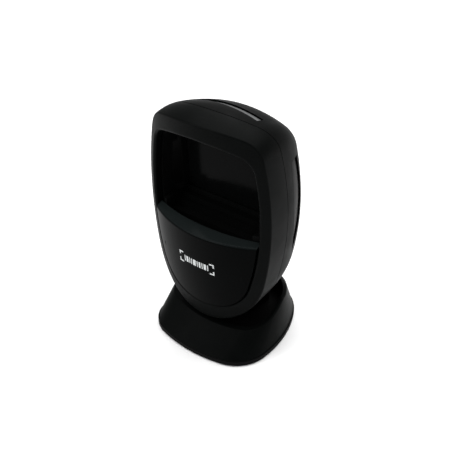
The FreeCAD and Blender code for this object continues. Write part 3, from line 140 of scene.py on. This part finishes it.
def paint_lip_highlight(material, colour, upright=0.25, level=0.85):
    """Painted highlight: a lighter colour where a glossy moulding turns to face up, as along the
    lip of the chin, standing in for the light that falls on it.

    The painted highlight colour comes in as the surface's normal rises from the first height to the
    second.
    """
    tree = material.node_tree
    main = tree.nodes["Principled BSDF"]
    mottled = main.inputs["Base Color"].links[0].from_socket
    coordinates = tree.nodes.new("ShaderNodeTexCoord")
    parts = tree.nodes.new("ShaderNodeSeparateXYZ")
    # Mask of the surfaces that face up, where the painted highlight goes.
    painted_highlight_mask = tree.nodes.new("ShaderNodeMapRange")
    painted_highlight_mask.inputs["From Min"].default_value = upright
    painted_highlight_mask.inputs["From Max"].default_value = level
    blend = tree.nodes.new("ShaderNodeMixRGB")
    blend.inputs["Color2"].default_value = (*colour, 1.0)
    tree.links.new(coordinates.outputs["Normal"], parts.inputs["Vector"])
    tree.links.new(parts.outputs["Z"], painted_highlight_mask.inputs["Value"])
    tree.links.new(painted_highlight_mask.outputs["Result"], blend.inputs["Fac"])
    tree.links.new(mottled, blend.inputs["Color1"])
    tree.links.new(blend.outputs["Color"], main.inputs["Base Color"])
    return material


def metal(name, colour, roughness, stretch=(0.08, 1.0, 1.0)):
    """Plated or turned metal with fine directional lines."""
    shader = Shader(name, colour, roughness, Metallic=1.0)
    shader.mottle(3 * MM, 0.12)
    lines = shader.noise(0.12 * MM, 3.0, stretch)
    streaks = shader.spread(lines, roughness - 0.08, roughness + 0.12)
    shader.link(streaks, shader.main.inputs["Roughness"])
    shader.relief(lines, 0.004 * MM, 0.5)
    return shader.material


def circuit(name, colour):
    """Solder mask over faint tracks."""
    shader = Shader(name, colour, 0.35)
    bright = [channel * 1.9 for channel in colour]
    tracks = shader.add("ShaderNodeTexBrick", Scale=420.0)
    shader.link(shader.place, tracks.inputs["Vector"])
    tracks.inputs["Color1"].default_value = (*colour, 1.0)
    tracks.inputs["Color2"].default_value = (*[channel * 0.85 for channel in colour], 1.0)
    tracks.inputs["Mortar"].default_value = (*bright, 1.0)
    tracks.inputs["Mortar Size"].default_value = 0.03
    shader.link(tracks.outputs["Color"], shader.main.inputs["Base Color"])
    shader.relief(tracks.outputs["Fac"], 0.01 * MM, 0.6)
    shader.polish(3 * MM, 0.3, 0.42)
    return shader.material


def cast(name, colour):
    """Rough cast iron."""
    shader = Shader(name, colour, 0.7, Metallic=0.8)
    shader.mottle(2 * MM, 0.35)
    coarse = shader.relief(shader.noise(1.6 * MM, 5.0), 0.15 * MM, 0.8)
    shader.relief(shader.noise(0.4 * MM, 3.0), 0.05 * MM, 0.6, coarse)
    return shader.material


def glass(name, colour, roughness, transmission, **sockets):
    """Tinted window or lens with faint smears."""
    shader = Shader(name, colour, roughness, Transmission_Weight=transmission, IOR=1.5, **sockets)
    shader.mottle(15 * MM, 0.06)
    shader.polish(11 * MM, roughness, roughness + 0.04)
    shader.relief(shader.noise(30 * MM, 1.0), 0.01 * MM, 0.15)
    return shader.material


BLACK = (0.0013, 0.0016, 0.0015)
SATIN_BLACK = (0.0016, 0.002, 0.0019)
# Painted highlight colour for the chin lip where it faces up, standing in for light falling on it.
PAINTED_LIP_HIGHLIGHT = (0.009, 0.0115, 0.0115)
MOULDED = (0.012, 0.012, 0.013)
CHIN_BLACK = (0.0006, 0.0008, 0.0008)
FINISHES = {
    "bezel_plastic": grained("bezel_plastic_look", SATIN_BLACK, 0.42),
    "cover_plastic": grained("cover_plastic_look", BLACK, 0.44),
    "base_plastic": grained("base_plastic_look", SATIN_BLACK, 0.43, gloss=0.02),
    "button_plastic": grained("button_plastic_look", BLACK, 0.3, 0.25 * MM, 0.006 * MM),
    "inlay_gloss": polished("inlay_gloss_look", (0.0008, 0.0009, 0.0009), 0.24,
                            Specular_IOR_Level=0.012),
    # The chin's lip gets a painted highlight where its surface faces up.
    "chin_gloss": paint_lip_highlight(polished("chin_gloss_look", CHIN_BLACK, 0.09,
                                     Specular_IOR_Level=0.02), PAINTED_LIP_HIGHLIGHT),
    "light_guide": polished("light_guide_look", (0.13, 0.132, 0.134), 0.3),
    "liner_black": grained("liner_black_look", (0.0025, 0.0027, 0.0027), 0.5, 0.5 * MM, 0.02 * MM),
    "diffuser": polished("diffuser_look", (0.0015, 0.0015, 0.0015), 0.22, Specular_IOR_Level=0.04),
    "window_glass": glass("window_glass_look", (0.002, 0.0022, 0.0022), 0.12, 0.0,
                          Specular_IOR_Level=0.02),
    "gasket_foam": grained("gasket_foam_look", (0.004, 0.004, 0.004), 0.85, 0.3 * MM, 0.05 * MM),
    "mark_print": grained("mark_print_look", (0.6, 0.62, 0.62), 0.45, 0.2 * MM, 0.004 * MM, 0.05),
    "chassis_plastic": grained("chassis_plastic_look", (0.01, 0.01, 0.011), 0.6, 0.5 * MM,
                               0.02 * MM),
    "screw_steel": metal("screw_steel_look", (0.5, 0.5, 0.52), 0.32),
    "barrel_black": metal("barrel_black_look", (0.02, 0.02, 0.02), 0.4),
    "lens_glass": glass("lens_glass_look", (0.32, 0.26, 0.42), 0.03, 0.7, Coat_Weight=1.0),
    "sensor_chip": polished("sensor_chip_look", (0.03, 0.02, 0.06), 0.1),
    "circuit_board": circuit("circuit_board_look", (0.01, 0.09, 0.035)),
    "aimer_brass": metal("aimer_brass_look", (0.62, 0.45, 0.18), 0.28),
    "led_resin": polished("led_resin_look", (0.7, 0.66, 0.42), 0.2),
    "chip_resin": grained("chip_resin_look", MOULDED, 0.5, 0.3 * MM, 0.01 * MM),
    "tinned_steel": metal("tinned_steel_look", (0.62, 0.62, 0.64), 0.3),
    "buzzer_black": grained("buzzer_black_look", (0.01, 0.01, 0.01), 0.5, 0.4 * MM, 0.02 * MM),
    "flex_film": polished("flex_film_look", (0.35, 0.14, 0.02), 0.3),
    "socket_plastic": grained("socket_plastic_look", MOULDED, 0.5, 0.3 * MM, 0.01 * MM),
    "contact_brass": metal("contact_brass_look", (0.75, 0.55, 0.2), 0.25),
    "switch_plastic": grained("switch_plastic_look", (0.2, 0.2, 0.22), 0.5, 0.3 * MM, 0.01 * MM),
    "neck_metal": metal("neck_metal_look", (0.03, 0.03, 0.032), 0.5, (1.0, 1.0, 1.0)),
    "yoke_metal": grained("yoke_metal_look", (0.012, 0.012, 0.012), 0.55, 0.6 * MM, 0.03 * MM),
    "axle_steel": metal("axle_steel_look", (0.42, 0.42, 0.44), 0.3),
    "washer_nylon": grained("washer_nylon_look", (0.55, 0.54, 0.5), 0.5, 0.3 * MM, 0.01 * MM),
    "plate_steel": grained("plate_steel_look", (0.003, 0.003, 0.003), 0.5, 0.7 * MM, 0.03 * MM),
    "cover_sheet": grained("cover_sheet_look", (0.0015, 0.0016, 0.0016), 0.55, 0.5 * MM, 0.02 * MM),
    "weight_iron": cast("weight_iron_look", (0.06, 0.06, 0.062)),
    "foot_rubber": grained("foot_rubber_look", (0.012, 0.012, 0.012), 0.8, 0.4 * MM, 0.03 * MM),
}

slots = {entry["node"]: entry["material_slot"] for entry in frame["record"]["subparts"]}
for label, piece in frame["nodes"].items():
    finish = FINISHES[slots[label]]
    if not piece.material_slots:
        piece.data.materials.append(finish)
    for place in piece.material_slots:
        place.material = finish


# ---------------------------------------------------------------- floor, light and camera
def plane(name, size, material):
    """Square sheet on the ground, part of the studio."""
    mesh = bpy.data.meshes.new(name)
    half = size / 2
    corners = [(-half, -half, 0), (half, -half, 0), (half, half, 0), (-half, half, 0)]
    mesh.from_pydata(corners, [], [(0, 1, 2, 3)])
    mesh.materials.append(material)
    sheet = bpy.data.objects.new(name, mesh)
    bpy.context.scene.collection.objects.link(sheet)
    return sheet


FLOOR_SIZE = 30.0
floor_look = Shader("studio_floor_look", (0.95, 0.95, 0.95), 0.6)
floor_look.mottle(200 * MM, 0.01)
plane("studio_floor", FLOOR_SIZE, floor_look.material)


def softbox(name, place, target, width, height, watts):
    """Rectangular white area light aimed at a point."""
    data = bpy.data.lights.new(name, "AREA")
    data.shape = "RECTANGLE"
    data.size, data.size_y = width, height
    data.energy = watts
    lamp = bpy.data.objects.new(name, data)
    lamp.location = place
    lamp.rotation_euler = (Vector(target) - Vector(place)).to_track_quat("-Z", "Y").to_euler()
    bpy.context.scene.collection.objects.link(lamp)
    return lamp


MIDDLE = (0.0, 0.0, 0.07)
softbox("key_light", (-0.55, -0.75, 0.75), MIDDLE, 0.7, 0.7, 5.0)
softbox("top_light", (0.0, 0.3, 1.4), MIDDLE, 2.0, 2.0, 34.0)
softbox("right_light", (0.9, 0.2, 0.4), MIDDLE, 0.4, 0.8, 1.0)

world = bpy.data.worlds.new("studio_world")
world.use_nodes = True
sky = world.node_tree
background = sky.nodes["Background"]
background.inputs["Color"].default_value = (1.0, 1.0, 1.0, 1.0)
# The sky is bright near the horizon, so that low views have a pale backdrop, and dimmer above.
direction = sky.nodes.new("ShaderNodeTexCoord")
parts = sky.nodes.new("ShaderNodeSeparateXYZ")
fade = sky.nodes.new("ShaderNodeMapRange")
SKY = {"From Min": 0.08, "From Max": 0.2, "To Min": 0.85, "To Max": 0.38}
for socket, number in SKY.items():
    fade.inputs[socket].default_value = number
sky.links.new(direction.outputs["Generated"], parts.inputs["Vector"])
sky.links.new(parts.outputs["Z"], fade.inputs["Value"])
sky.links.new(fade.outputs["Result"], background.inputs["Strength"])
bpy.context.scene.world = world
bpy.context.scene.view_settings.view_transform = "Standard"

AZIMUTH, ELEVATION = math.radians(39.2), math.radians(31.2)
DISTANCE = 0.4054
camera_data = bpy.data.cameras.new("camera")
camera_data.lens = 55.8
camera_data.sensor_width = 36.0
camera_data.shift_x = -0.0083
camera_data.shift_y = -0.021
camera = bpy.data.objects.new("camera", camera_data)
ahead, aside = math.cos(AZIMUTH) * math.cos(ELEVATION), math.sin(AZIMUTH) * math.cos(ELEVATION)
back = Vector((aside, -ahead, math.sin(ELEVATION)))
camera.location = Vector(MIDDLE) + back * DISTANCE
camera.rotation_euler = (-back).to_track_quat("-Z", "Y").to_euler()
bpy.context.scene.collection.objects.link(camera)
bpy.context.scene.camera = camera
